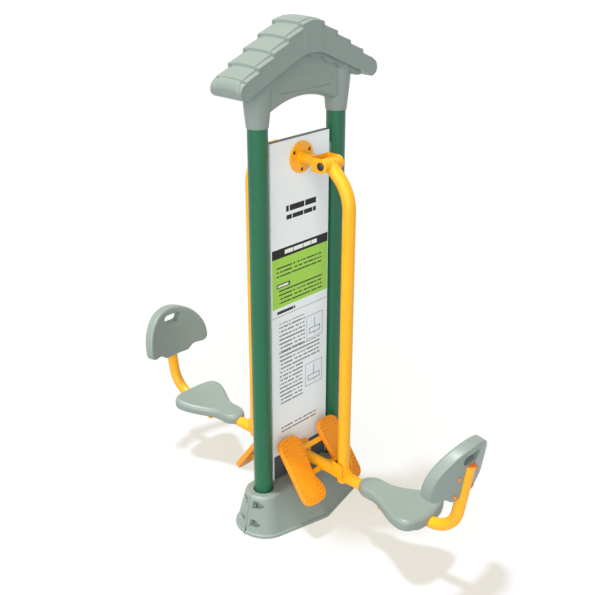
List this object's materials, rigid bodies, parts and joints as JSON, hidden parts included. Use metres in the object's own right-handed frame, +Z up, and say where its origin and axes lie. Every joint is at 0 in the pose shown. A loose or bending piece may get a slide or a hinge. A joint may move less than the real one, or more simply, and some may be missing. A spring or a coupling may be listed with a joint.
{
  "type": "double leg press machine",
  "caption": "Outdoor leg press with two posts, a moulded roof, a board and, on each side, a swinging seat arm and fixed footrests.",
  "frame": {"origin": "on the ground under the base plates, at the centre of the footprint, midway between the posts", "axes": "+Z up; +X from the near post to the far post; the front seat lies towards -Y and the rear seat towards +Y"},
  "size_m": [0.8494, 2.0988, 2.469],
  "materials": {
    "green_post_paint": "gloss powder coat",
    "yellow_frame_paint": "gloss powder coat",
    "orange_footrest_plastic": "fine grained moulding",
    "orange_bolt_paint": "gloss powder coat",
    "grey_green_plastic": "fine grained moulding",
    "pale_board_lacquer": "satin powder coat with printed panels",
    "zinc_plated_steel": "bright zinc plating",
    "blackened_screw_steel": "black oxide",
    "galvanised_steel": "hot-dip galvanising",
    "bearing_steel": "ground and polished",
    "black_cap_plastic": "smooth moulding",
    "black_rubber": "matt rubber"
  },
  "bodies": {
    "frame": {"near_post": "green_post_paint", "far_post": "green_post_paint", "near_base_plate": "galvanised_steel", "far_base_plate": "galvanised_steel", "upper_cross_beam": "galvanised_steel", "lower_cross_beam": "galvanised_steel", "front_board_sheet": "pale_board_lacquer", "rear_board_sheet": "pale_board_lacquer", "front_base_cover": "grey_green_plastic", "rear_base_cover": "grey_green_plastic", "roof": "grey_green_plastic", "near_upper_cover_bolt": "zinc_plated_steel", "near_lower_cover_bolt": "zinc_plated_steel", "near_front_roof_screw": "zinc_plated_steel", "near_rear_roof_screw": "zinc_plated_steel", "far_upper_cover_bolt": "zinc_plated_steel", "far_lower_cover_bolt": "zinc_plated_steel", "far_front_roof_screw": "zinc_plated_steel", "far_rear_roof_screw": "zinc_plated_steel", "front_hanger": "yellow_frame_paint", "front_pivot_bolt": "zinc_plated_steel", "front_footrest_frame": "yellow_frame_paint", "front_arm_bumper": "black_rubber", "front_near_footrest": "orange_footrest_plastic", "front_near_pivot_cap": "black_cap_plastic", "front_far_footrest": "orange_footrest_plastic", "front_far_pivot_cap": "black_cap_plastic", "front_near_hanger_bolt": "blackened_screw_steel", "front_far_hanger_bolt": "blackened_screw_steel", "front_lower_hanger_bolt": "blackened_screw_steel", "rear_hanger": "yellow_frame_paint", "rear_pivot_bolt": "zinc_plated_steel", "rear_footrest_frame": "yellow_frame_paint", "rear_arm_bumper": "black_rubber", "rear_near_footrest": "orange_footrest_plastic", "rear_near_pivot_cap": "black_cap_plastic", "rear_far_footrest": "orange_footrest_plastic", "rear_far_pivot_cap": "black_cap_plastic", "rear_near_hanger_bolt": "blackened_screw_steel", "rear_far_hanger_bolt": "blackened_screw_steel", "rear_lower_hanger_bolt": "blackened_screw_steel"},
    "front_arm": {"front_swing_arm": "yellow_frame_paint", "front_seat": "grey_green_plastic", "front_backrest": "grey_green_plastic", "front_near_bearing": "bearing_steel", "front_near_upper_backrest_bolt": "orange_bolt_paint", "front_near_lower_backrest_bolt": "orange_bolt_paint", "front_far_bearing": "bearing_steel", "front_far_upper_backrest_bolt": "orange_bolt_paint", "front_far_lower_backrest_bolt": "orange_bolt_paint"},
    "rear_arm": {"rear_swing_arm": "yellow_frame_paint", "rear_seat": "grey_green_plastic", "rear_backrest": "grey_green_plastic", "rear_near_bearing": "bearing_steel", "rear_near_upper_backrest_bolt": "orange_bolt_paint", "rear_near_lower_backrest_bolt": "orange_bolt_paint", "rear_far_bearing": "bearing_steel", "rear_far_upper_backrest_bolt": "orange_bolt_paint", "rear_far_lower_backrest_bolt": "orange_bolt_paint"}
  },
  "joints": [
    {"name": "front_swing", "type": "hinge", "parent": "frame", "child": "front_arm", "pos_m": [0, -0.19, 1.857], "axis": [-1, 0, 0], "range_deg": [0, 30]},
    {"name": "rear_swing", "type": "hinge", "parent": "frame", "child": "rear_arm", "pos_m": [0, 0.19, 1.857], "axis": [1, 0, 0], "range_deg": [0, 30]}
  ]
}
